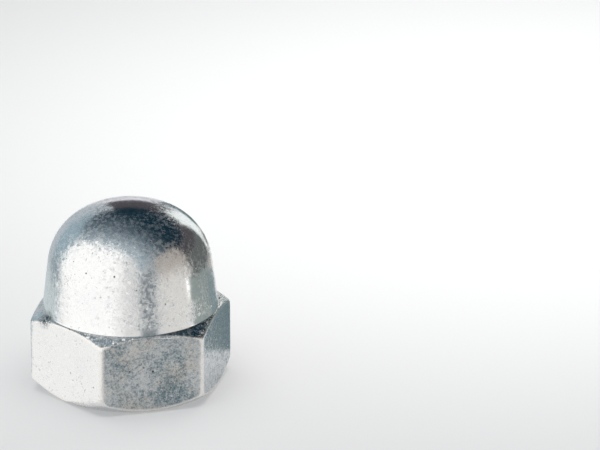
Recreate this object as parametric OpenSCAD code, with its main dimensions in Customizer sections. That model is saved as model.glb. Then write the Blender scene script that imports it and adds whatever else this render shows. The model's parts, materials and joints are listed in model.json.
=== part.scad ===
// Hexagon cap nut: a nut with a closed dome, turned from one piece of hexagon bar.
// It stands on its bearing face, at the origin, with the thread's axis on +Z and the dome on top.

/* [Hexagon] */
// Width across the flats
across_flats = 17; // [15:0.1:24]
// Height of the hexagon
hex_height = 7.8; // [6.5:0.1:10]
// Rounding of the six upright edges
corner_radius = 0.5; // [0.2:0.05:1.5]
// Distance from a flat in to the rim of the upper chamfer
upper_chamfer_inset = 0.05; // [0.02:0.01:0.5]
// Slope of the upper chamfer, from level
upper_chamfer_angle = 31; // [15:1:40]

/* [Bearing face] */
// Distance from a flat in to the rim of the bearing face
bearing_inset = 0.35; // [0.1:0.05:1]
// Slope of the lower chamfer, from level
lower_chamfer_angle = 37; // [15:1:45]

/* [Dome] */
// Height over all, from the bearing face to the crown
overall_height = 17.9; // [15:0.1:24]
// Width of the ledge between the upper chamfer's rim and the dome's foot
ledge_width = 0.15; // [0.1:0.05:1]
// Radius of the fillet at the dome's foot
foot_fillet = 0.1; // [0.05:0.01:0.5]
// Height of the drafted skirt above the hexagon
skirt_height = 4.4; // [1:0.1:6]
// Draft of the skirt, from upright
skirt_draft = 7; // [1:0.5:12]
// Radius of the shoulder between skirt and crown
shoulder_radius = 6; // [2:0.1:7]

/* [Thread] */
// Nominal diameter of the thread
thread_dia = 10; // [6:0.5:12]
// Pitch of the thread
thread_pitch = 1.5; // [1:0.25:1.75]
// Distance that the countersink reaches outside the thread
mouth_margin = 1; // [0.3:0.1:2]
// Slope of the countersink, from level
mouth_angle = 30; // [20:1:45]
// Length of the relief groove behind the thread
relief_length = 3; // [1:0.1:4]
// Depth of the relief groove outside the thread
relief_margin = 0.15; // [0.05:0.05:0.5]
// Slope of the bore's end cone, from level
end_angle = 31; // [10:1:40]
// Diameter of the flat at the bore's end
end_flat_dia = 4.4; // [1:0.1:5]
// Thickness of the crown above the bore's end
crown_wall = 3.1; // [2:0.1:5]

/* [Hidden] */
$fn = 96;
overcut = 1;
// How far an arc reaches past the lines that it touches, so that the two join cleanly
blend = 0.002;

flat_r = across_flats / 2;
corner_r = flat_r / cos(30);
turned_r = corner_r + overcut;

upper_rim_r = flat_r - upper_chamfer_inset;
upper_chamfer_z = hex_height - (turned_r - upper_rim_r) * tan(upper_chamfer_angle);
bearing_r = flat_r - bearing_inset;
lower_chamfer_z = (turned_r - bearing_r) * tan(lower_chamfer_angle);

foot_r = upper_rim_r - ledge_width;
skirt_top_r = foot_r - skirt_height * tan(skirt_draft);
skirt_top_z = hex_height + skirt_height;

// The fillet's circle touches the ledge and the skirt, and is no wider than the ledge.
fillet_r = min(foot_fillet, ledge_width);
fillet_x = foot_r + fillet_r * (1 - sin(skirt_draft)) / cos(skirt_draft);
fillet_z = hex_height + fillet_r;

// The shoulder is tangent to the skirt, and the crown to the shoulder.
// The shoulder is no larger than the height and the width above the skirt have room for.
shoulder_room_z = (overall_height - skirt_top_z) / (1 - sin(skirt_draft));
shoulder_room_x = skirt_top_r / cos(skirt_draft);
crown_share = 0.05;
shoulder_r = min(shoulder_radius, (1 - crown_share) * min(shoulder_room_z, shoulder_room_x));
shoulder_x = skirt_top_r - shoulder_r * cos(skirt_draft);
shoulder_z = skirt_top_z - shoulder_r * sin(skirt_draft);
crown_rise = overall_height - shoulder_z - shoulder_r;
crown_r = shoulder_r + crown_rise / 2 + shoulder_x ^ 2 / (2 * crown_rise);
crown_z = overall_height - crown_r;
crown_joint_z = crown_z + crown_r * (shoulder_z - crown_z) / (crown_r - shoulder_r);

core_r = (thread_dia - thread_pitch) / 2;
mouth_r = thread_dia / 2 + mouth_margin;
mouth_z = (mouth_r - core_r) * tan(mouth_angle);
relief_r = thread_dia / 2 + relief_margin;
end_flat_r = end_flat_dia / 2;
end_z = overall_height - crown_wall;
relief_end_z = end_z - (relief_r - end_flat_r) * tan(end_angle);
thread_end_z = relief_end_z - relief_length;

// Hexagon with flats facing +Y and -Y, and its six corners rounded
module rounded_hexagon() {
    difference() {
        circle(corner_r, $fn = 6);
        for (corner = [0:60:300])
            rotate(corner) translate([corner_r - corner_radius / cos(30), 0]) corner_waste();
    }
}

// What the rounding of one corner cuts away, seen from the rounding's centre
module corner_waste() {
    reach = 2 * corner_radius;
    difference() {
        polygon([[0, 0], reach * [cos(30), -sin(30)], reach * [cos(30), sin(30)]]);
        circle(corner_radius + blend);
    }
}

// Half section of the turned blank: bearing face, lower chamfer, upper chamfer and ledge
module blank_section() {
    polygon([
        [0, 0],
        [bearing_r, 0],
        [turned_r, lower_chamfer_z],
        [turned_r, upper_chamfer_z],
        [upper_rim_r, hex_height],
        [0, hex_height],
    ]);
}

// Half section of the fillet at the dome's foot
module fillet_section() {
    difference() {
        translate([foot_r - fillet_r, hex_height - fillet_r])
            square([fillet_x - foot_r + fillet_r, 2 * fillet_r]);
        translate([fillet_x, fillet_z]) circle(fillet_r + blend);
    }
}

// Half section of the dome: drafted skirt, shoulder arc and crown arc
module dome_section() {
    polygon([
        [0, hex_height],
        [foot_r, hex_height],
        [skirt_top_r, skirt_top_z],
        [0, skirt_top_z],
    ]);
    translate([0, hex_height]) square([shoulder_x, shoulder_z + shoulder_r - hex_height]);
    intersection() {
        half_plane_above(hex_height);
        translate([shoulder_x, shoulder_z]) circle(shoulder_r + blend);
    }
    intersection() {
        half_plane_above(crown_joint_z);
        translate([0, crown_z]) circle(crown_r);
    }
}

// The part of a half section that lies above a level
module half_plane_above(level) {
    translate([0, level]) square([turned_r, overall_height]);
}

// Half section of the bore: countersink, thread's core, relief groove and end cone
module bore_section() {
    polygon([
        [0, -overcut],
        [mouth_r + overcut / tan(mouth_angle), -overcut],
        [core_r, mouth_z],
        [core_r, thread_end_z],
        [relief_r, thread_end_z],
        [relief_r, relief_end_z],
        [end_flat_r, end_z],
        [0, end_z],
    ]);
}

module cap_nut() {
    color("silver") difference() {
        intersection() {
            linear_extrude(overall_height + overcut) rounded_hexagon();
            rotate_extrude() {
                blank_section();
                fillet_section();
                dome_section();
            }
        }
        rotate_extrude() bore_section();
    }
}

cap_nut();
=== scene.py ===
# %% [markdown]
# # A domed cap nut
#
# A cap nut is one piece of steel: a hexagon for the wrench, a smooth dome that covers the bolt's end, and a
# blind threaded hole underneath. It is formed from one blank, tapped, and then plated with zinc. The packed
# CAD model gives its size and its place, so the lesson starts by loading that frame and keeping its box.

# %% Load the frame
import json

import bpy
import numpy as np
from mathutils import Matrix, Vector


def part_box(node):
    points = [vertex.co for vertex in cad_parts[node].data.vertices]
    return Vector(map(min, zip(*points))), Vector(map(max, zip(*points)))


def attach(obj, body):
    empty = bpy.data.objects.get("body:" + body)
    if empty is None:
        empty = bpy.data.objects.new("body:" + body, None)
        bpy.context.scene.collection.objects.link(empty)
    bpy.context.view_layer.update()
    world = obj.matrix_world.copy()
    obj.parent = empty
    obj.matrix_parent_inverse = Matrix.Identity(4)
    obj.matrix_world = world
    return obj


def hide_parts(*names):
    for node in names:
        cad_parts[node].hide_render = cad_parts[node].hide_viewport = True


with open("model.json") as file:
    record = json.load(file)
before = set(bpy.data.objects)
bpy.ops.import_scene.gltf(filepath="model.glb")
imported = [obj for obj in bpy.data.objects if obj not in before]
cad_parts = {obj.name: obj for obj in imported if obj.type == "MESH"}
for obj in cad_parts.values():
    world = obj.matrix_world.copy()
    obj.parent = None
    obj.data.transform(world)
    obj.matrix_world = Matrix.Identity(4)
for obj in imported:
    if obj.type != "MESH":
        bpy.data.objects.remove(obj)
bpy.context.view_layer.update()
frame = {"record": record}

# %% [markdown]
# ## The nut's own sizes
#
# The outside sizes come from the frame's box, so the picture can't drift away from the solid. The chamfers,
# the dome's arcs and the bore are the same few driving sizes that the solid was built from. Everything is
# in millimetres here, because a thread and a chamfer are easier to read that way; the mesh is written in
# metres.

# %% Driving sizes, in millimetres and radians
MM = 0.001
low_corner, high_corner = (np.array(corner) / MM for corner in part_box("cap_nut"))
flat_r = (high_corner[1] - low_corner[1]) / 2
overall_height = high_corner[2] - low_corner[2]
hex_height = 7.8
upper_chamfer_inset = 0.05
upper_chamfer = np.radians(31)
bearing_inset = 0.35
lower_chamfer = np.radians(37)
ledge_width = 0.15
skirt_height = 4.4
skirt_draft = np.radians(7)
shoulder_r = 6.0
rim_r = flat_r - upper_chamfer_inset
bearing_r = flat_r - bearing_inset
foot_r = rim_r - ledge_width
print(f"{2 * flat_r:.2f} mm across flats, {overall_height:.2f} mm high")

# %% [markdown]
# ## The dome's profile
#
# The dome is a skirt that leans in a little, a shoulder arc that is tangent to the skirt, and a flatter
# crown arc that is tangent to the shoulder and reaches the top on the axis. The crown's radius isn't free:
# a circle centred on the axis, touching the shoulder circle from outside and passing through the top, has
# one radius. The dome could be drawn as a free curve, but worked-out arcs give the even run of light that a
# formed dome has.

# %% Work out the tangent arcs
skirt_top = np.array([foot_r - skirt_height * np.tan(skirt_draft), hex_height + skirt_height])
skirt_normal = np.array([np.cos(skirt_draft), np.sin(skirt_draft)])
shoulder_centre = skirt_top - shoulder_r * skirt_normal
rise = overall_height - shoulder_centre[1]
crown_r = (shoulder_centre[0] ** 2 + rise**2 - shoulder_r**2) / (2 * (rise - shoulder_r))
crown_z = overall_height - crown_r
crown_half_angle = np.arctan2(shoulder_centre[0], shoulder_centre[1] - crown_z)
print(f"crown radius {crown_r:.3f} mm, crown ends at {np.degrees(crown_half_angle):.1f} degrees")

# %% [markdown]
# ## Rounded edges from a soft maximum
#
# A formed and plated nut has no sharp edge: each one is rounded by up to a few tenths of a millimetre, and
# those bright rounded edges are what the eye reads first. A Bevel modifier could do it, but here every face
# is a signed distance, negative inside the metal, and the solid is their maximum. Replacing the maximum by
# a soft one rounds all the edges at once, and how far the soft value stands above the plain one tells how
# near an edge is, which later gives the wear.

# %% The soft maximum and the soft minimum
def soft_max(distances, softness):
    """softness times the logarithm of the sum of exp(distance / softness)."""
    stack = np.stack(np.broadcast_arrays(*distances))
    top = stack.max(axis=0)
    return top + softness * np.log(np.exp((stack - top) / softness).sum(axis=0))


def soft_min(distances, softness):
    """The soft maximum of the negatives, turned back."""
    return -soft_max([-distance for distance in distances], softness)


corner_softness = 0.14
edge_softness = 0.07
print(f"a soft edge lies {soft_max([0.0, 0.0], edge_softness):.3f} mm inside the sharp one")

# %% Flats of the hexagon, and faces that are round about the axis
flat_normals = np.radians(30 + 60 * np.arange(6))


def hexagon_faces(x, y):
    """For each flat, the distance along its outward normal minus half the width across flats."""
    return [x * np.cos(a) + y * np.sin(a) - flat_r for a in flat_normals]


def turned_faces(r, z):
    """Distances to the two chamfer cones, the ledge under the dome, and the bearing face."""
    upper = (r - rim_r) * np.sin(upper_chamfer) + (z - hex_height) * np.cos(upper_chamfer)
    lower = (r - bearing_r) * np.sin(lower_chamfer) - z * np.cos(lower_chamfer)
    return [upper, lower, z - hex_height, -z]


print(len(flat_normals), "flats and", len(turned_faces(0.0, 0.0)), "turned faces")

# %% The dome, and the whole nut as one field
dome_root = 0.5
foot_softness = 0.03
mouth_softness = 0.10
mouth_r = 6.0
mouth_angle = np.radians(30)


def dome_distance(r, z):
    """Distance to the skirt's cone, the shoulder's arc or the crown's arc, whichever faces the point."""
    outward = r - shoulder_centre[0]
    upward = z - shoulder_centre[1]
    skirt = (r - foot_r) * np.cos(skirt_draft) + (z - hex_height) * np.sin(skirt_draft)
    shoulder = np.hypot(outward, upward) - shoulder_r
    crown = np.hypot(r, z - crown_z) - crown_r
    above_skirt = upward * np.cos(skirt_draft) - outward * np.sin(skirt_draft)
    beyond_crown = r * np.cos(crown_half_angle) - (z - crown_z) * np.sin(crown_half_angle)
    arcs = np.where(beyond_crown < 0, crown, shoulder)
    dome = np.where(above_skirt < 0, skirt, arcs)
    return np.maximum(dome, hex_height - dome_root - z)


def nut_distance(points):
    """Soft maximum of hexagon, turned faces and countersink, joined to the dome by a soft minimum."""
    x, y, z = points
    r = np.hypot(x, y)
    hexagon = soft_max(hexagon_faces(x, y), corner_softness)
    block = soft_max([hexagon, *turned_faces(r, z)], edge_softness)
    countersink = (mouth_r - r) * np.sin(mouth_angle) - z * np.cos(mouth_angle)
    block = soft_max([block, countersink], mouth_softness)
    return soft_min([block, dome_distance(r, z)], foot_softness)


print(f"field in the middle of the hexagon: {nut_distance((0.0, 0.0, hex_height / 2)):.2f} mm")

# %% [markdown]
# ## One grid for the whole outside
#
# The outside is a function of two parameters: the angle round the axis, and the way down from the crown
# over the dome, the chamfer, the flat and the lower chamfer to the bearing face. Columns crowd together at
# the six corners, and rows crowd together at each edge, so the rounding gets its points where it bends. A
# subdivided block would spend most of its points on the flats, which don't need them.

# %% Columns
columns_per_half_flat = 20
crowding = 1.7
half_flat = (np.arange(columns_per_half_flat) / columns_per_half_flat) ** crowding
from_corner = np.radians(30) * np.concatenate([half_flat, [1.0], 2 - half_flat[:0:-1]])
angles = (np.radians(60) * np.arange(6)[:, None] + from_corner[None, :]).ravel()
from_flat = np.abs((angles % np.radians(60)) - np.radians(30))
hexagon_r = flat_r / np.cos(from_flat)
print(len(angles), "columns")


# %% Rows of the sharp profile
def eased(start, end, steps):
    """Rows from start to end, without the start, crowding at both ends as a cosine does."""
    share = 0.5 - 0.5 * np.cos(np.pi * np.arange(1, steps + 1) / steps)
    return start + (end - start) * share[:, None]


def arc(centre, radius, first, last, steps):
    """Rows on a circle round centre, by the angle from the axis, without the first."""
    lean = np.linspace(first, last, steps + 1)[1:, None]
    return centre[0] + radius * np.sin(lean), centre[1] + radius * np.cos(lean)


upper_edge_z = hex_height - (hexagon_r - rim_r) * np.tan(upper_chamfer)
lower_edge_z = (hexagon_r - bearing_r) * np.tan(lower_chamfer)
countersink_z = 0.45
countersink_r = mouth_r - countersink_z / np.tan(mouth_angle)
# Crown, shoulder, skirt, ledge, upper chamfer, flat, lower chamfer, bearing face and countersink,
# each with its number of rows
profile = [
    arc((0.0, crown_z), crown_r, 0.0, crown_half_angle, 20),
    arc(shoulder_centre, shoulder_r, crown_half_angle, np.pi / 2 - skirt_draft, 40),
    (eased(skirt_top[0], foot_r, 24), eased(skirt_top[1], hex_height, 24)),
    (eased(foot_r, rim_r, 6), eased(hex_height, hex_height, 6)),
    (eased(rim_r, hexagon_r, 14), eased(hex_height, upper_edge_z, 14)),
    (eased(hexagon_r, hexagon_r, 26), eased(upper_edge_z, lower_edge_z, 26)),
    (eased(hexagon_r, bearing_r, 12), eased(lower_edge_z, 0.0, 12)),
    (eased(bearing_r, mouth_r, 12), eased(0.0, 0.0, 12)),
    (eased(mouth_r, countersink_r, 8), eased(0.0, countersink_z, 8)),
]
grid = [np.broadcast_arrays(r, z, angles[None, :])[:2] for r, z in profile]
outer_r = np.concatenate([r for r, z in grid])
outer_z = np.concatenate([z for r, z in grid])
print(outer_r.shape, "points on the sharp outside")

# %% [markdown]
# ## Pulling the grid onto the rounded surface
#
# Each point of the sharp profile lies within a tenth of a millimetre of the rounded surface. A few Newton
# steps along the slope of the distance field bring it there: move by the distance divided by the slope.

# %% Newton steps along the slope
newton_steps = 5


def slope(points, reach=1e-4):
    """Central differences of the distance field along x, y and z."""
    shifts = np.eye(3)[:, :, None, None] * reach
    rises = [nut_distance(points + shift) - nut_distance(points - shift) for shift in shifts]
    return np.stack(rises) / (2 * reach)


outside = np.stack([outer_r * np.cos(angles), outer_r * np.sin(angles), outer_z])
for step in range(newton_steps):
    distance = nut_distance(outside)
    print(f"step {step}: up to {np.abs(distance).max():.5f} mm off")
    direction = slope(outside)
    outside = outside - direction * (distance / (direction**2).sum(axis=0))
print(f"largest distance left: {np.abs(nut_distance(outside)).max():.5f} mm")

# %% [markdown]
# ## The threaded bore
#
# The bore is blind: a countersink lets the bolt in, a right-hand thread of 1.5 mm pitch follows, then a
# relief groove where the tap ran out, and the drill's cone. A thread could be a swept curve, but as a
# radius that depends on height and angle it joins the countersink and the relief without any cutting: the
# phase is height over pitch minus the angle's share of a turn, and the radius is the flank's slope held
# softly between the crest and the root.

# %% Radius of the thread
thread_pitch = 1.5
flank_angle = np.radians(30)
core_r = frame["record"]["mounts"][0]["dims"]["r_mm"]
root_r = 5.0
root_half_width = 0.13
bore_softness = 0.035


def thread_r(z, angle):
    """The root's radius minus the way out of the root over the tangent of the flank's angle.

    The result is held softly between the core's radius and the root's.
    """
    phase = (z / thread_pitch - angle / (2 * np.pi)) % 1.0
    off_root = np.abs(phase - 0.5) * thread_pitch
    flank = root_r - (off_root - root_half_width) / np.tan(flank_angle)
    return soft_min([soft_max([flank, core_r], bore_softness), root_r], bore_softness)


print(f"thread from radius {core_r:.2f} to {root_r:.2f} mm")

# %% Radius of the whole bore
thread_end_z = 10.03
runout_angle = np.radians(60)
relief_r = 5.15
relief_end_z = 13.03
end_angle = np.radians(31)
end_z = 14.8
end_flat_r = 2.2
end_cone_from_z = 11.0


def bore_r(z, angle):
    """Largest of the countersink's cone, the thread and the run-out's ramp.

    Deep in the bore it is the smaller one of that and the end cone.
    """
    countersink = mouth_r - z / np.tan(mouth_angle)
    ramp = np.minimum(core_r + (z - thread_end_z) * np.tan(runout_angle), relief_r)
    wall = soft_max([countersink, thread_r(z, angle), ramp], bore_softness)
    end_cone = relief_r - (z - relief_end_z) / np.tan(end_angle)
    return np.where(z > end_cone_from_z, soft_min([wall, end_cone], bore_softness), wall)


print(f"{(thread_end_z - countersink_z) / thread_pitch:.1f} turns of thread, bore {end_z:.1f} mm deep")

# %% Rows of the bore
rows_per_pitch = 22
past_thread = 0.6
before_cone = 0.2
thread_rows = np.arange(countersink_z, thread_end_z + past_thread, thread_pitch / rows_per_pitch)[1:]
relief_rows = np.linspace(thread_rows[-1], relief_end_z - before_cone, 10)[1:]
cone_rows = np.linspace(relief_rows[-1], end_z, 18)[1:-1]
bore_z = np.concatenate([thread_rows, relief_rows, cone_rows])[:, None] + 0 * angles
# The end is a small disc whose edge is rounded by its first two rows
disc_r = (end_flat_r + np.array([0.06, -0.02, -0.2, -1.0, -1.7]))[:, None] + 0 * angles
disc_z = (end_z - np.array([0.04, 0.005, 0.0, 0.0, 0.0]))[:, None] + 0 * angles
inner_r = np.concatenate([bore_r(bore_z, angles[None, :]), disc_r])
inner_z = np.concatenate([bore_z, disc_z])
inside = np.stack([inner_r * np.cos(angles), inner_r * np.sin(angles), inner_z])
print(inside.shape[1], "rows in the bore")

# %% [markdown]
# ## From grid to mesh
#
# The rows of the outside and of the bore follow each other, so one strip of quads covers the nut from the
# crown's pole to the middle of the bore's end. Each pole is a single point with a fan of triangles, and the
# last column joins the first one, so the skin is closed. Two meshes, one for the outside and one for the
# bore, would leave a seam at the mouth.

# %% Build the nut
def closed_skin(rows, columns):
    """Quads between neighbouring rows and columns, wrapping round, and a fan at each of the two poles."""
    here = 1 + np.arange(rows * columns).reshape(rows, columns)
    beside = np.roll(here, -1, axis=1)
    quads = np.stack([here[:-1], here[1:], beside[1:], beside[:-1]], axis=-1).reshape(-1, 4)
    top = np.stack([np.zeros(columns, int), here[0], beside[0]], axis=-1)
    bottom = np.stack([np.full(columns, rows * columns + 1), beside[-1], here[-1]], axis=-1)
    return top.tolist() + quads.tolist() + bottom.tolist()


def add_object(name, data):
    """A new object that shows this data, linked to the scene."""
    made = bpy.data.objects.new(name, data)
    bpy.context.scene.collection.objects.link(made)
    return made


skin = np.concatenate([outside, inside], axis=1)
poles = np.array([[0.0, 0.0, overall_height], [0.0, 0.0, end_z]])
vertices = np.concatenate([poles[:1], skin.reshape(3, -1).T, poles[1:]]) * MM
mesh = bpy.data.meshes.new("nut")
mesh.from_pydata(vertices.tolist(), [], closed_skin(skin.shape[1], len(angles)))
mesh.shade_smooth()
nut = add_object("nut", mesh)
print(len(mesh.vertices), "points,", sum(len(p.vertices) - 2 for p in mesh.polygons), "triangles")

# %% [markdown]
# ## What each part of the surface is
#
# The finish depends on where a point lies: edges are worn bright, the flats keep a dull film that stops
# short of their edges, partly painted shade on the front and right flats, and the two chamfers look
# different again. Painting that by hand would tie it to one mesh. Here the distances that made the shape
# give five numbers for each point, which are stored as attributes for the material to read.

# %% Wear on the edges
corner_wear = 0.28
rim_wear = 0.15
wear_depth = 0.3
above_ledge = 0.02


def keep_attribute(name, values):
    """Stores one number per point of the outside on the mesh, and 0 at the poles and in the bore."""
    padded = np.concatenate([[0.0], values.ravel(), np.zeros(inside[0].size + 1)])
    mesh.attributes.new(name, "FLOAT", "POINT").data.foreach_set("value", padded.astype(np.float32))
    print(f"{name}: from {padded.min():.2f} to {padded.max():.2f}")


def nearness(distances, softness):
    """How far the soft maximum stands above the plain one, as a share of its height on an edge."""
    plain = np.stack(distances).max(axis=0)
    return (soft_max(distances, softness) - plain) / (softness * np.log(2))


x, y, z = outside
flats = hexagon_faces(x, y)
hexagon = soft_max(flats, corner_softness)
turned = turned_faces(np.hypot(x, y), z)
near_corner = nearness(flats, corner_wear) * (hexagon > -wear_depth)
near_rim = nearness([hexagon, *turned], rim_wear)
near_edge = np.clip(np.maximum(near_corner, near_rim), 0, 1)
keep_attribute("worn_edge", near_edge * (z < hex_height + above_ledge))

# %% Film and painted shade on the flats, and the two chamfers
# Share of film on each flat, anticlockwise from the one that faces 30 degrees; on the front and right
# flats it is partly painted shade
film_and_shade_share = np.array([0.45, 0.40, 0.60, 0.0, 1.0, 0.56])
flat_band = 0.15
chamfer_band = 0.1
inset_softness = 0.32
lower_stretch = 1.5
inset_limits = (-1.0, 2.0)
upper, lower = turned[:2]


def near_face(distance, band):
    """1 on a face, falling evenly to 0 at a depth of band below it."""
    return np.clip(1 + distance / band, 0, 1)


on_flats = near_face(np.stack(flats), flat_band)
keep_attribute("film_and_shade_flat", (film_and_shade_share[:, None, None] * on_flats).sum(axis=0))
keep_attribute("foot_chamfer", near_face(lower, chamfer_band))
keep_attribute("rim_chamfer", near_face(upper, chamfer_band) * (z < hex_height))
by_size = np.sort(np.stack(flats), axis=0)
to_corner = (by_size[-1] - by_size[-2]) / np.sin(np.radians(60))
to_upper = -upper / np.cos(upper_chamfer)
to_lower = -lower_stretch * lower / np.cos(lower_chamfer)
inset = soft_min([to_corner, to_upper, to_lower], inset_softness)
keep_attribute("flat_inset", np.clip(inset, *inset_limits))

# %% [markdown]
# ## Small helpers for node trees
#
# Materials are trees of nodes. A few short helpers keep the recipes readable: one adds a node and joins or
# sets its inputs, and the others are single steps of arithmetic or textures that are needed again and
# again.

# %% Nodes and arithmetic
def add_node(tree, kind, inputs=None, **settings):
    """Adds a node of that kind, sets its settings, and joins or sets each named input."""
    node = tree.nodes.new(kind)
    for name, value in settings.items():
        setattr(node, name, value)
    for name, value in (inputs or {}).items():
        if isinstance(value, bpy.types.NodeSocket):
            tree.links.new(value, node.inputs[name])
        else:
            node.inputs[name].default_value = value
    return node


def sums(tree, operation, first, second=0.0, clamp=False):
    """One step of arithmetic on two values."""
    inputs = {0: first, 1: second}
    return add_node(tree, "ShaderNodeMath", inputs, operation=operation, use_clamp=clamp).outputs[0]


def times(tree, first, second):
    """The product of two values."""
    return sums(tree, "MULTIPLY", first, second)


def weighted(tree, start, *parts):
    """A starting value plus the sum of each part's value times its weight."""
    total = start
    for value, weight in parts:
        inputs = {0: value, 1: weight, 2: total}
        total = add_node(tree, "ShaderNodeMath", inputs, operation="MULTIPLY_ADD").outputs[0]
    return total


def vectors(tree, operation, first, second=None, scale=None, result="Vector"):
    """One step of vector arithmetic on a vector and, where they are given, a second one or a scale."""
    inputs = {0: first, 1: second, "Scale": scale}
    used = {name: value for name, value in inputs.items() if value is not None}
    return add_node(tree, "ShaderNodeVectorMath", used, operation=operation).outputs[result]


print("helpers: add_node, sums, times, weighted, vectors")


# %% Steps, blends and noise
def fade(tree, value, start, end, strength=1.0):
    """0 below start, strength above end, and a smooth step between; start above end turns it round."""
    inputs = {"Value": value, "From Min": start, "From Max": end, "To Max": strength}
    return add_node(tree, "ShaderNodeMapRange", inputs, interpolation_type="SMOOTHSTEP").outputs[0]


def fade_mm(tree, value, start, end, strength=1.0):
    """The same smooth step for a length in metres, with its start and end in millimetres."""
    return fade(tree, value, start * MM, end * MM, strength)


def blend(tree, share, first, second):
    """Colour first where share is 0, second where it is 1."""
    return add_node(tree, "ShaderNodeMix", {0: share, 6: first, 7: second}, data_type="RGBA").outputs[2]


def noise(tree, place, per_metre, detail=2.0, roughness=0.5):
    """Soft random clouds at a place, with so many to a metre; the outputs are a value and a colour."""
    inputs = {"Vector": place, "Scale": per_metre, "Detail": detail, "Roughness": roughness}
    return add_node(tree, "ShaderNodeTexNoise", inputs).outputs


def channels(tree, colour):
    """The red, green and blue of a random colour, used as three random values."""
    return add_node(tree, "ShaderNodeSeparateColor", {"Color": colour}).outputs


print("helpers: fade, fade_mm, blend, noise, channels")

# %% [markdown]
# ## Finish effects as node groups
#
# Zinc plating is a skin of tiny crystals: close up it sparkles and mottles rather than shining like chrome.
# Handling adds fine curved scratches and pits. Each effect is a node group with its own inputs, so that the
# outside and the bore can share it with other values. Sizes are in metres because Object coordinates are.

# %% Two new groups
def new_group(name, inputs, outputs):
    """A shader node group; its inputs are types, names and values, and its outputs are types and names."""
    group = bpy.data.node_groups.new(name, "ShaderNodeTree")
    for kind, label, value in inputs:
        socket = group.interface.new_socket(label, in_out="INPUT", socket_type=kind)
        if value is not None:
            socket.default_value = value
    for kind, label in outputs:
        group.interface.new_socket(label, in_out="OUTPUT", socket_type=kind)
    return group


grain_inputs = [
    ("NodeSocketVector", "Position", None),
    ("NodeSocketFloat", "Crystals per Metre", 8000.0),
    ("NodeSocketFloat", "Tilt", 0.2),
]
grain_outputs = [
    ("NodeSocketVector", "Normal"),
    ("NodeSocketFloat", "Shade"),
    ("NodeSocketFloat", "Clump"),
]
marks_inputs = [
    ("NodeSocketVector", "Position", None),
    ("NodeSocketFloat", "Pits per Metre", 900.0),
]
marks_outputs = [("NodeSocketFloat", "Pit"), ("NodeSocketFloat", "Scratch")]
grain_group = new_group("plating grain", grain_inputs, grain_outputs)
marks_group = new_group("handling marks", marks_inputs, marks_outputs)
print("groups:", grain_group.name, "and", marks_group.name)

# %% [markdown]
# ## Crystal grain
#
# A Voronoi texture cuts the surface into crystals and gives each a random colour, which is read as the way
# its face leans. How far it leans is a random chance to the fourth power, so most crystals lie nearly flat
# and a few catch the light. Fine crystals and coarser clumps of them are added, and the tilted normal is
# made one long again. A bump could do this too, but it blurs where a crystal is smaller than a pixel.

# %% Crystal grain
rarity = 4.0
middle_colour = (0.5, 0.5, 0.5)
# Output, number of crystals as a share of the finest ones, and weight of their tilt
crystal_layers = [("Shade", 1.0, 0.8), ("Clump", 0.32, 0.7)]
tree = grain_group
given = tree.nodes.new("NodeGroupInput").outputs
out = tree.nodes.new("NodeGroupOutput").inputs
tilted = add_node(tree, "ShaderNodeNewGeometry").outputs["Normal"]
for label, share, weight in crystal_layers:
    inputs = {"Vector": given["Position"], "Scale": times(tree, given["Crystals per Metre"], share)}
    crystals = add_node(tree, "ShaderNodeTexVoronoi", inputs).outputs["Color"]
    chance = add_node(tree, "ShaderNodeTexWhiteNoise", {"Vector": crystals}).outputs["Value"]
    rare = times(tree, sums(tree, "POWER", chance, rarity), weight)
    lean = vectors(tree, "SUBTRACT", crystals, middle_colour)
    lean = vectors(tree, "SCALE", lean, scale=times(tree, given["Tilt"], rare))
    tilted = vectors(tree, "ADD", tilted, lean)
    tree.links.new(channels(tree, crystals)[0], out[label])
tree.links.new(vectors(tree, "NORMALIZE", tilted), out["Normal"])
print("grain group:", len(tree.nodes), "nodes")

# %% [markdown]
# ## Pits and scratches
#
# Pits are round spots in the middle of Voronoi cells, and few cells have a large one. Scratches are the
# borders of long, slanting cells on a position that noise has bent, so they curve, and a second noise keeps
# them to some patches. Thousands of such dents would be too fine for the mesh, so they are a texture.

# %% Pits
largest_pit = 0.135
pit_edge = 0.05
tree = marks_group
given = tree.nodes.new("NodeGroupInput").outputs
out = tree.nodes.new("NodeGroupOutput").inputs
place = given["Position"]
cell_inputs = {"Vector": place, "Scale": given["Pits per Metre"], "Randomness": 1.0}
cells = add_node(tree, "ShaderNodeTexVoronoi", cell_inputs).outputs
chance = channels(tree, cells["Color"])[0]
pit_size = times(tree, sums(tree, "POWER", chance, rarity), largest_pit)
pit = sums(tree, "SUBTRACT", pit_size, cells["Distance"])
tree.links.new(fade(tree, pit, 0.0, pit_edge), out["Pit"])
print("pits:", len(tree.nodes), "nodes")

# %% Scratches
bends_per_metre = 260.0
bend_reach = 4 * MM
stroke_slant = (0.5, 0.3, 0.9)
stroke_stretch = (1.0, 0.12, 0.4)
strokes_per_metre = 2200.0
patches_per_metre = 500.0
bends = noise(tree, place, bends_per_metre, detail=1.0)["Color"]
bent = vectors(tree, "ADD", place, vectors(tree, "SCALE", bends, scale=bend_reach))
slant_inputs = {"Vector": bent, "Rotation": stroke_slant, "Scale": stroke_stretch}
slanted = add_node(tree, "ShaderNodeMapping", slant_inputs).outputs[0]
stroke_inputs = {"Vector": slanted, "Scale": strokes_per_metre}
stroke_cells = add_node(tree, "ShaderNodeTexVoronoi", stroke_inputs, feature="DISTANCE_TO_EDGE")
strokes = stroke_cells.outputs["Distance"]
patches = noise(tree, place, patches_per_metre)[0]
scratch = times(tree, fade(tree, strokes, 0.05, 0.015), fade(tree, patches, 0.56, 0.66))
tree.links.new(scratch, out["Scratch"])
print("marks group:", len(tree.nodes), "nodes")

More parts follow.
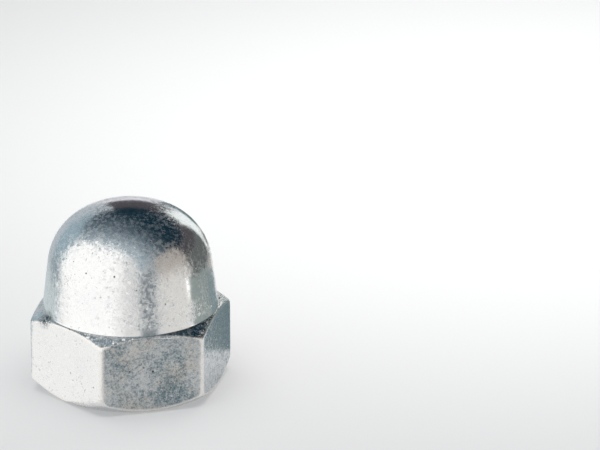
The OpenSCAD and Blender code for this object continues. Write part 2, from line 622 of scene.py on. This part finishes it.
# %% [markdown]
# ## Zinc plating on the outside
#
# The metal is fully metallic and pale. What makes it look plated rather than chromed is that nothing on it
# is even: crystals tilt the normal, matt clumps blur the reflections in one place and not in the next, and
# film and stains change the colour. A picture of plating could give that too, but it would need the nut's
# skin laid out flat and would show the seams. A recipe that reads the position on the piece needs neither.

# %% Outside material
def principled(name, colour, **inputs):
    """A new material with one Principled BSDF; the colour also shows in the viewport."""
    material = bpy.data.materials.new(name)
    material.use_nodes = True
    material.diffuse_color = colour
    shader = material.node_tree.nodes["Principled BSDF"]
    shader.inputs["Base Color"].default_value = colour
    for label, value in inputs.items():
        shader.inputs[label.replace("_", " ")].default_value = value
    return material, material.node_tree, shader.inputs


def place_group(tree, group, **inputs):
    """Places a group in a material and joins or sets its inputs, whose names have _ for a space."""
    named = {name.replace("_", " "): value for name, value in inputs.items()}
    return add_node(tree, "ShaderNodeGroup", named, node_tree=group).outputs


clean_zinc = (0.87, 0.87, 0.865, 1.0)
plating, tree, shader = principled("zinc_plating", clean_zinc, Metallic=1.0)
position = add_node(tree, "ShaderNodeTexCoord").outputs["Object"]
height = add_node(tree, "ShaderNodeSeparateXYZ", {"Vector": position}).outputs["Z"]
print("material:", plating.name)

# %% [markdown]
# ## Rubbed, struck and pitted places
#
# A nut that has been handled is not worn evenly. Its crown and two places on the dome are rubbed smooth,
# and so is the ring at the dome's foot: the crystals lean less there, and the reflections are clear. On the
# upper chamfer they lean most. One corner of it was struck, and the front flat has two deep pits. The
# places are given as the camera sees them, to its right, away from it and up, and a turn about the vertical
# axis brings them to the nut, which has two of its corners on the X axis.

# %% Places as the camera sees them
heading = np.radians(-15.2)
turn = Matrix.Rotation(heading, 4, "Z")


def seen_at(right, away, up):
    """A place in the camera's directions, in millimetres, turned about Z into the nut's, in metres."""
    return turn @ (Vector((right, away, up)) * MM)


def closeness(spot, reach, core):
    """1 within core of a spot that the camera sees, and 0 beyond reach, all in millimetres."""
    apart = vectors(tree, "DISTANCE", position, seen_at(*spot), result="Value")
    return fade_mm(tree, apart, reach, core)


rubbed_shoulder = closeness((6.0, -0.2, 15.7), reach=3.6, core=1.6)
rubbed_skirt = closeness((5.7, -5.5, 11.3), reach=1.9, core=0.8)
deep_pit = closeness((2.3, -8.18, 4.23), reach=0.14, core=0.08)
small_pit = closeness((0.13, -8.77, 4.44), reach=0.10, core=0.05)
struck = closeness((-7.8, -3.7, 7.65), reach=1.15, core=0.2)
print("five marked places, seen from a heading of", round(np.degrees(heading), 1), "degrees")


# %% Polish, crystals, pits and scratches
def largest(tree, first, *others):
    """The largest of several values."""
    for other in others:
        first = sums(tree, "MAXIMUM", first, other)
    return first


def attribute(tree, name):
    """The number that the mesh keeps under that name."""
    return add_node(tree, "ShaderNodeAttribute", attribute_name=name).outputs["Fac"]


plain_tilt = 0.34
tilt_rubbed_off = 0.28
rim_tilt = 0.79
crown_start, crown_full = overall_height - 0.45, overall_height - 0.05
ring_start, ring_full = hex_height - 0.02, hex_height + 0.04
ring_fades, ring_ends = hex_height + 0.3, hex_height + 0.9
on_crown = fade_mm(tree, height, crown_start, crown_full)
above_ring_start = fade_mm(tree, height, ring_start, ring_full)
foot_ring = times(tree, above_ring_start, fade_mm(tree, height, ring_ends, ring_fades))
polish = largest(tree, on_crown, rubbed_shoulder, rubbed_skirt, foot_ring)
rim_chamfer = attribute(tree, "rim_chamfer")
tilt = weighted(tree, plain_tilt, (polish, -tilt_rubbed_off), (rim_chamfer, rim_tilt))
grain = place_group(tree, grain_group, Position=position, Crystals_per_Metre=12000.0, Tilt=tilt)
marks = place_group(tree, marks_group, Position=position, Pits_per_Metre=1300.0)
pit = largest(tree, marks["Pit"], deep_pit, small_pit)
print("polish, grain and marks:", len(tree.nodes), "nodes")

# %% [markdown]
# ## Film, stains, dirt and painted shade
#
# The film that protects the zinc is uneven. On the flats it ends short of the edges along a ragged line.
# Where it is thick it is mottled in beige and dark blue, and where it is thin it is pale blue and drawn
# into upright streaks. How much of it each flat carries is partly painted shade: it darkens the front flat
# and turns the right flat blue-grey, and the pale blue on the lower chamfer is a painted reflection. Dark
# specks of tarnish and a little brown dirt lie everywhere, the worn edges are clean and warm, and nicks and
# pits are nearly black. Each has a mask, and the colours are laid over each other, from the thin film to
# the pits.

# %% Specks, clouds and the ragged film
specks_per_metre = 3600.0
clouds_per_metre = 330.0
raggedness = 1.1


def centred(tree, value):
    """A random value between 0 and 1, shifted to lie round 0."""
    return sums(tree, "SUBTRACT", value, 0.5)


fine = noise(tree, position, specks_per_metre, detail=4.0, roughness=0.7)[0]
specks = weighted(tree, 0.0, (fine, 0.56), (grain["Shade"], 0.28), (grain["Clump"], 0.16))
cool, warm, wobble = channels(tree, noise(tree, position, clouds_per_metre)["Color"])
ragged_inset = weighted(tree, attribute(tree, "flat_inset"), (centred(tree, wobble), raggedness))
# On the front and right flats the film's share is partly painted shade.
filmed_and_shaded = times(tree, attribute(tree, "film_and_shade_flat"), fade(tree, ragged_inset, 0.03, 0.20))
print("specks, clouds and film:", len(tree.nodes), "nodes")

# %% Thick and thin film, partly painted shade and painted reflection
dull_zinc = (0.57, 0.58, 0.58, 1.0)
beige_stain = (0.60, 0.57, 0.53, 1.0)
blue_stain = (0.095, 0.165, 0.20, 1.0)
streaks_per_metre = 3200.0
drawn_out = (1.0, 1.0, 0.06)
thinnest = 0.35
streak_gain = 2.1
foot_painted_reflection = 0.5
cool_specks = weighted(tree, specks, (centred(tree, cool), 0.65))
stain = blend(tree, fade(tree, warm, 0.42, 0.68), dull_zinc, beige_stain)
stain = blend(tree, fade(tree, cool_specks, 0.30, 0.84), stain, blue_stain)
thick_film_and_shade = fade(tree, weighted(tree, filmed_and_shaded, (centred(tree, specks), 0.4)), 0.35, 0.85)
drawn = add_node(tree, "ShaderNodeMapping", {"Vector": position, "Scale": drawn_out}).outputs[0]
streaks = noise(tree, drawn, streaks_per_metre, detail=3.0)[0]
streaky = times(tree, filmed_and_shaded, weighted(tree, thinnest, (streaks, streak_gain)))
# The pale blue of the thin film is partly real film and partly painted shade on the right flat; on the
# lower chamfer it is a painted reflection of a bluish floor.
thin_film_and_painted_light = weighted(tree, streaky, (attribute(tree, "foot_chamfer"), foot_painted_reflection))
print("thick and thin film:", len(tree.nodes), "nodes")

# %% Colours laid over each other
# Pale blue of the film, also used as painted shade on the right flat and painted reflection on the lower
# chamfer
blue_film_and_painted_light = (0.55, 0.60, 0.64, 1.0)
brown_dirt = (0.20, 0.165, 0.14, 1.0)
worn_zinc = (0.83, 0.80, 0.77, 1.0)
nick_grey = (0.09, 0.115, 0.125, 1.0)
pit_black = (0.08, 0.07, 0.065, 1.0)
smudge = fade(tree, cool, 0.50, 0.68, strength=0.08)
tarnish = fade(tree, specks, 0.62, 0.78, strength=0.45)
dirty_specks = weighted(tree, specks, (centred(tree, warm), 0.8))
dirt = fade(tree, dirty_specks, 0.74, 0.86, strength=0.5)
edge_wear = attribute(tree, "worn_edge")
worn = fade(tree, edge_wear, 0.25, 0.80, strength=0.8)
nicks = times(tree, struck, fade(tree, specks, 0.39, 0.53))
layers = [
    (smudge, blue_film_and_painted_light),
    (thin_film_and_painted_light, blue_film_and_painted_light),
    (tarnish, blue_stain),
    (thick_film_and_shade, stain),
    (dirt, brown_dirt),
    (worn, worn_zinc),
    (nicks, nick_grey),
    (pit, pit_black),
]
colour = clean_zinc
for share, layer in layers:
    colour = blend(tree, share, colour, layer)
tree.links.new(colour, shader["Base Color"])
print(len(layers), "layers over the clean zinc")

# %% [markdown]
# ## Matt clumps and dents
#
# Plating grows in clumps, and some are smoother than others. A smooth clump mirrors one thing sharply and a
# matt one mixes what stands round it, so a dark part of the dome gets pale clumps and a white part stays
# white. Mottling the colour instead would spot the white part as well. Rubbed places have few matt clumps.
# Pits, nicks and scratches are real dents, so they drive a bump, which starts from the crystals' tilted
# normal.

# %% Roughness and dents of the outside
clumps_per_metre = 2800.0
smoothest = 0.15
matt_gain = 0.28
matt_rubbed_off = 0.8
worn_loss = 0.03
polish_loss = 0.02
scratch_depth = 0.08
dent_depth = 0.04 * MM
coarse = noise(tree, position, clumps_per_metre, detail=2.5, roughness=0.6)[0]
clumps = weighted(tree, coarse, (grain["Clump"], 0.20), (grain["Shade"], 0.12))
unrubbed = weighted(tree, 1.0, (polish, -matt_rubbed_off))
matt = times(tree, fade(tree, clumps, 0.54, 0.86), unrubbed)
roughness = weighted(tree, smoothest, (matt, matt_gain), (edge_wear, -worn_loss), (polish, -polish_loss))
tree.links.new(roughness, shader["Roughness"])
scratched = times(tree, marks["Scratch"], weighted(tree, scratch_depth, (polish, -scratch_depth)))
dents = sums(tree, "ADD", largest(tree, pit, nicks), scratched)
bump_inputs = {"Height": dents, "Distance": dent_depth, "Strength": 1.0, "Normal": grain["Normal"]}
bump = add_node(tree, "ShaderNodeBump", bump_inputs, invert=True)
tree.links.new(bump.outputs[0], shader["Normal"])
mesh.materials.append(plating)
print("outside material:", len(tree.nodes), "nodes")

# %% [markdown]
# ## The bore's finish
#
# Inside the bore the tints follow the depth and the radius. The thread's crests are bright, its flanks
# further in are brown-grey, the relief groove is dark and greenish, a painted shade of that recess, and the
# drill's cone shows the copper-pink of a thin deposit. The same two groups give grain and marks here, with
# other values.

# %% Bore material
# Brown-grey of the flanks further in
flank_brown_grey = (0.36, 0.33, 0.30, 1.0)
bore_finish, tree, shader = principled("bore_zinc", flank_brown_grey, Metallic=1.0)
position = add_node(tree, "ShaderNodeTexCoord").outputs["Object"]
depth = add_node(tree, "ShaderNodeSeparateXYZ", {"Vector": position}).outputs["Z"]
across = vectors(tree, "MULTIPLY", position, (1.0, 1.0, 0.0))
radius = vectors(tree, "LENGTH", across, result="Value")
grain = place_group(tree, grain_group, Position=position, Crystals_per_Metre=7000.0, Tilt=0.35)
marks = place_group(tree, marks_group, Position=position, Pits_per_Metre=1300.0)
bore_smoothest = 0.22
bore_matt_gain = 0.15
roughness = weighted(tree, bore_smoothest, (grain["Shade"], bore_matt_gain))
tree.links.new(roughness, shader["Roughness"])
tree.links.new(grain["Normal"], shader["Normal"])
print("material:", bore_finish.name)

# %% Tints of the bore
# The relief groove's dark green is painted shade of the recess.
relief_painted_shade = (0.30, 0.34, 0.31, 1.0)
end_copper = (0.86, 0.66, 0.55, 1.0)
end_grey = (0.40, 0.43, 0.40, 1.0)
off_crest = fade_mm(tree, radius, core_r + 0.1, core_r + 0.6, strength=0.9)
in_groove = times(tree, off_crest, fade_mm(tree, depth, 0.6, 1.6))
in_relief = fade_mm(tree, depth, thread_end_z, thread_end_z + 0.4)
on_cone = fade_mm(tree, depth, relief_end_z - 0.1, relief_end_z + 0.2)
near_axis = fade_mm(tree, radius, end_flat_r + 0.1, end_flat_r)
on_disc = times(tree, near_axis, fade_mm(tree, depth, 12, 13))
layers = [
    (in_groove, flank_brown_grey),
    (in_relief, relief_painted_shade),
    (on_cone, end_copper),
    (on_disc, end_grey),
    (marks["Pit"], pit_black),
]
colour = clean_zinc
for share, layer in layers:
    colour = blend(tree, share, colour, layer)
tree.links.new(colour, shader["Base Color"])
mesh.materials.append(bore_finish)
outer_faces = outside.shape[1] * len(angles)
which_finish = (np.arange(len(mesh.polygons)) >= outer_faces).astype(np.int32)
mesh.polygons.foreach_set("material_index", which_finish)
print("bore material on", int(which_finish.sum()), "faces")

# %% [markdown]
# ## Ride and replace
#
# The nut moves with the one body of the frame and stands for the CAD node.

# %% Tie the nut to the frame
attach(nut, "root")
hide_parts("cap_nut")
print("rides on root, replaces cap_nut")

# %% [markdown]
# ## The camera
#
# The photograph was taken with a long lens from in front and above: the hexagon's side edges barely
# converge. A short lens close by would spread them. The camera's place is written in its own directions, as
# the marks on the nut are, and turned by the same heading.

# %% Camera at the photograph's angle
looking_down = np.radians(21.7)
camera_place = (16.025, -436.717, 189.482)
camera_data = bpy.data.cameras.new("camera")
camera_data.lens = 300.0
camera_data.sensor_width = 36.0
camera_data.clip_start = 0.02
camera_data.clip_end = 20.0
camera = add_object("camera", camera_data)
camera.location = seen_at(*camera_place)
camera.rotation_euler = (np.pi / 2 - looking_down, 0.0, heading)
bpy.context.scene.camera = camera
print("camera", [round(v, 4) for v in camera.location])

# %% [markdown]
# ## The floor
#
# The nut stands on a plain pale floor. If a lamp alone made it near white, the same lamp would be too
# bright for the metal. So a share of the floor's tone is its own glow, which only the camera and the
# reflections see. The other share is lit, and it keeps the soft shadow that ties the nut to the floor. Away
# from the middle the floor's colour falls off to a light grey, a painted falloff of light as on a lit
# table.

# %% Floor
floor_half = 1.5
near_floor = (0.985, 0.981, 0.978, 1.0)
far_floor_painted_dim = (0.70, 0.70, 0.70, 1.0)
black = (0.0, 0.0, 0.0, 1.0)
lit_share = 0.6
brightest_place = (40, 60, 0)
falloff_start, falloff_end = 20, 95
floor_finish, tree, shader = principled(
    "pale_floor", near_floor, Roughness=1.0, Specular_IOR_Level=0.0, Emission_Strength=1.0
)
floor_place = add_node(tree, "ShaderNodeTexCoord").outputs["Object"]
# Painted falloff of light: the floor's colour darkens away from its brightest place.
from_brightest = vectors(tree, "DISTANCE", floor_place, seen_at(*brightest_place), result="Value")
painted_light_falloff = fade_mm(tree, from_brightest, falloff_start, falloff_end)
floor_colour = blend(tree, painted_light_falloff, near_floor, far_floor_painted_dim)
tree.links.new(blend(tree, lit_share, black, floor_colour), shader["Base Color"])
rays = add_node(tree, "ShaderNodeLightPath").outputs
seen = sums(tree, "ADD", rays["Is Camera Ray"], rays["Is Glossy Ray"])
seen = sums(tree, "ADD", seen, rays["Is Transmission Ray"], clamp=True)
own_glow = times(tree, seen, 1 - lit_share)
tree.links.new(blend(tree, own_glow, black, floor_colour), shader["Emission Color"])
floor_mesh = bpy.data.meshes.new("floor")
floor_corners = floor_half * np.array([(-1, -1, 0), (1, -1, 0), (1, 1, 0), (-1, 1, 0)])
floor_mesh.from_pydata(floor_corners.tolist(), [], [(0, 1, 2, 3)])
floor_mesh.materials.append(floor_finish)
floor = add_object("floor", floor_mesh)
print("floor of", 2 * floor_half, "m")

# %% [markdown]
# ## One large lamp above
#
# A wide lamp high above lights the floor evenly and leaves only a soft shadow. The nut doesn't mirror it:
# what polished metal mirrors is set separately, by the panels of the next step. Several small lamps would
# give several hard shadows.

# %% Overhead lamp
lamp_side = 500 * MM
lamp_radiance = 2.80
lamp_place = (30, 60, 420)
lamp = bpy.data.lights.new("overhead", "AREA")
lamp.size = lamp_side
lamp.energy = lamp_radiance * np.pi * lamp_side**2
lamp.color = (1.0, 0.962, 0.93)
overhead = add_object("overhead", lamp)
overhead.location = seen_at(*lamp_place)
overhead.visible_camera = False
overhead.visible_glossy = False
print(f"overhead lamp of {lamp.energy:.2f} W")

# %% [markdown]
# ## Panels and cards
#
# Polished metal is a picture of what stands round it. A photographer sets up bright panels, and dark cards
# between them give the stripes that make a dome look round. Each is written by the directions that it fills
# as seen from the nut's axis, in degrees anticlockwise from the camera's right, and by its glow. Only
# reflections see them, so each tone on the metal can be set by one colour while the floor stays even.

# %% A sheet that glows
glow_rise = (10, 45)
sheets = []


def glowing_sheet(name, corners, glow, upper_glow=None):
    """A sheet with these corners in the camera's directions, in millimetres, that only reflections see.

    Its glow is one colour, or goes over to a second one by a smooth step between the levels of glow_rise.
    """
    material = bpy.data.materials.new(name)
    material.use_nodes = True
    sheet_tree = material.node_tree
    sheet_tree.nodes.remove(sheet_tree.nodes["Principled BSDF"])
    shine = add_node(sheet_tree, "ShaderNodeEmission", {"Color": (*glow, 1.0), "Strength": 1.0})
    if upper_glow is not None:
        sheet_place = add_node(sheet_tree, "ShaderNodeTexCoord").outputs["Object"]
        level = add_node(sheet_tree, "ShaderNodeSeparateXYZ", {"Vector": sheet_place}).outputs["Z"]
        upper_share = fade_mm(sheet_tree, level, *glow_rise)
        graded = blend(sheet_tree, upper_share, (*glow, 1.0), (*upper_glow, 1.0))
        sheet_tree.links.new(graded, shine.inputs["Color"])
    sheet_tree.links.new(shine.outputs[0], sheet_tree.nodes["Material Output"].inputs["Surface"])
    sheet_mesh = bpy.data.meshes.new(name)
    sheet_mesh.from_pydata([seen_at(*corner) for corner in corners], [], [(0, 1, 2, 3)])
    sheet_mesh.materials.append(material)
    sheet = add_object(name, sheet_mesh)
    sheet.visible_camera = False
    sheet.visible_diffuse = False
    sheet.visible_shadow = False
    sheets.append(sheet)


# Two sheets that lie on the floor give its tones in the left flat and in the dome's left edge
shaded_floor = [(-45, 6, 0.06), (-10.5, -0.5, 0.06), (-6, 45, 0.06), (-45, 45, 0.06)]
left_floor = [(-40, -25, 0.05), (-6, -25, 0.05), (-6, 10, 0.05), (-40, 10, 0.05)]
glowing_sheet("shaded_floor", shaded_floor, (0.60, 0.665, 0.685))
glowing_sheet("left_floor", left_floor, (0.97, 0.97, 0.96))
print(len(sheets), "sheets on the floor")


# %% Bright panels
def panel(name, azimuth, distance, start, end, heights, glow, upper_glow=None, bottom=0.0):
    """An upright sheet square to azimuth that fills the directions from start to end, up to heights there.

    A direction lies sideways by the tangent of its angle from azimuth, times the distance.
    """
    square_to = np.radians(azimuth)
    outward = np.array([np.cos(square_to), np.sin(square_to), 0.0])
    sideways = np.array([-np.sin(square_to), np.cos(square_to), 0.0])
    offsets = np.tan(np.radians([start, end]) - square_to)
    first, last = distance * (outward + offsets[:, None] * sideways)
    corners = np.array([first, last, last, first])
    corners[:, 2] = [bottom, bottom, heights[1], heights[0]]
    glowing_sheet(name, corners, glow, upper_glow)


# Each call gives a name, azimuth, distance, directions from and to, heights at both ends, and the glow.
# The white field on the left of the dome, and its end that fades into the grey stripe
panel("white_panel", -132, 60, -204, -88, (122, 122), (1.13, 1.13, 1.12))
panel("white_foot", -132, 30, -190, -106, (10, 10), (1.13, 1.13, 1.12))
panel("pale_end", -102, 50, -109, -96, (80, 77), (1.00, 0.99, 0.975))
panel("grey_end", -87, 50, -96, -77, (73, 50), (0.77, 0.767, 0.76))
# The warm field on the right, duller at its top, with a small highlight at its end, and the streak over
# the right shoulder, which a dark card cuts off below
panel("warm_panel", -24, 75, -52, -1, (80, 80), (0.75, 0.73, 0.70), (0.46, 0.42, 0.385))
panel("warm_foot", -24, 45, -50, -5, (11, 11), (0.75, 0.735, 0.705))
panel("back_panel", 65, 260, 56, 75, (150, 150), (0.94, 1.00, 0.99))
panel("behind_card", 90, 14, 54.5, 74, (15.5, 19.5), (0.13, 0.19, 0.20), bottom=12)
panel("highlight", -10, 40, -12.5, -8.5, (7, 7), (1.8, 1.8, 1.75), bottom=3.6)
print(len(sheets), "sheets and panels")

# %% Dark cards
# For the right edge and for the stripe in front
panel("right_card", 26, 30, -5, 47, (22, 22), (0.125, 0.14, 0.138))
panel("right_foot", 26, 29, -9, 34, (7.5, 7.5), (0.28, 0.33, 0.32))
panel("edge_foot", 26, 29, 34, 52, (7.5, 7.5), (0.48, 0.46, 0.44))
panel("front_card", -66, 45, -76, -57, (30, 30), (0.22, 0.25, 0.27))
# Blue-grey ones for the left edge, and low ones for the right flat and chamfer
panel("left_card", 141, 42, 104, 166, (45, 45), (0.315, 0.42, 0.485))
panel("left_foot", 141, 41, 104, 168, (14, 14), (0.29, 0.36, 0.40))
panel("back_card", 122, 39, 104.5, 144, (48, 8), (0.49, 0.54, 0.58))
panel("far_card", 66, 40, 57, 72, (9, 9), (0.20, 0.24, 0.23), bottom=3)
panel("low_card", 58, 11.4, 15, 32, (9, 9), (0.22, 0.29, 0.31))
print(len(sheets), "sheets, panels and cards")

# %% [markdown]
# ## The room
#
# What no panel covers is the room. High up it is nearly black behind the nut and pale blue in front to the
# left, lower down behind it is a dim grey, and near the horizon it is pale, which the nut's outline
# mirrors. The world's colour therefore depends on the direction alone: on its side and on its height. A
# panorama of a studio could stand here, but a few blends can be changed by number and need no file.

# %% World
dark_room = (0.006, 0.025, 0.041, 1.0)
pale_room = (0.52, 0.62, 0.69, 1.0)
dim_back = (0.080, 0.074, 0.082, 1.0)
pale_horizon = (0.80, 0.81, 0.86, 1.0)
world = bpy.data.worlds.new("studio")
bpy.context.scene.world = world
world.use_nodes = True
tree = world.node_tree
look = add_node(tree, "ShaderNodeTexCoord").outputs["Generated"]
up = add_node(tree, "ShaderNodeSeparateXYZ", {"Vector": look}).outputs["Z"]
front_left = turn.to_3x3() @ Vector((-0.65, -0.76, 0.0)).normalized()
facing = vectors(tree, "DOT_PRODUCT", look, front_left, result="Value")
behind = times(tree, fade(tree, facing, 0.0, -0.4), fade(tree, up, 0.59, 0.50))
room = blend(tree, fade(tree, facing, -0.55, 0.85), dark_room, pale_room)
room = blend(tree, behind, room, dim_back)
room = blend(tree, fade(tree, up, 0.21, 0.17), room, pale_horizon)
tree.links.new(room, tree.nodes["Background"].inputs["Color"])
print("world:", len(tree.nodes), "nodes")

# %% View settings
bpy.context.scene.view_settings.view_transform = "Standard"
